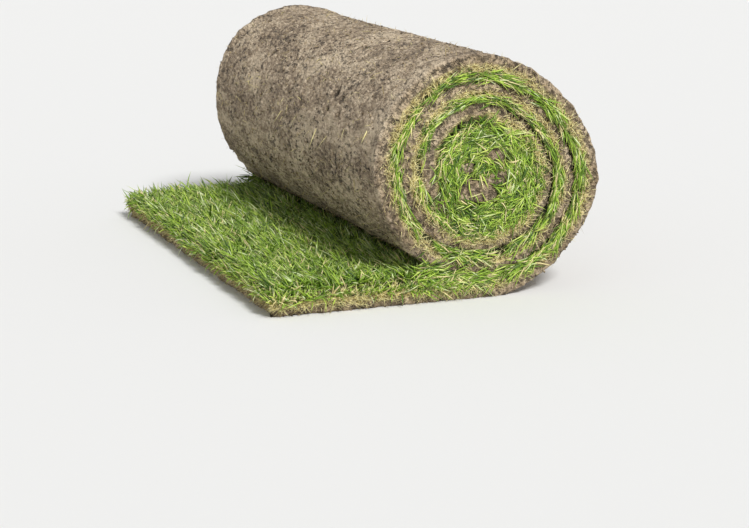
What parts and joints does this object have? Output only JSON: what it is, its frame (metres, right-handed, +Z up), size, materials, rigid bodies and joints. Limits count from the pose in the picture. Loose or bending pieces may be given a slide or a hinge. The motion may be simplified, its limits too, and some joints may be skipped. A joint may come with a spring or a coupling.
{
  "type": "roll of turf",
  "caption": "Strip of turf cut with its soil and rolled up grass side in, its loose end lying flat with the grass up.",
  "frame": {"origin": "on the ground, under the middle of the whole piece", "axes": "+Z up; the roll lies along Y; the loose end lies towards -X and the roll towards +X"},
  "size_m": [0.2917, 0.457, 0.2076],
  "materials": {
    "soil": "dry crumbly earth held by roots, matte",
    "grass": "fine living blades with straw thatch"
  },
  "bodies": {
    "root": {"turf_strip": "soil"}
  },
  "joints": []
}
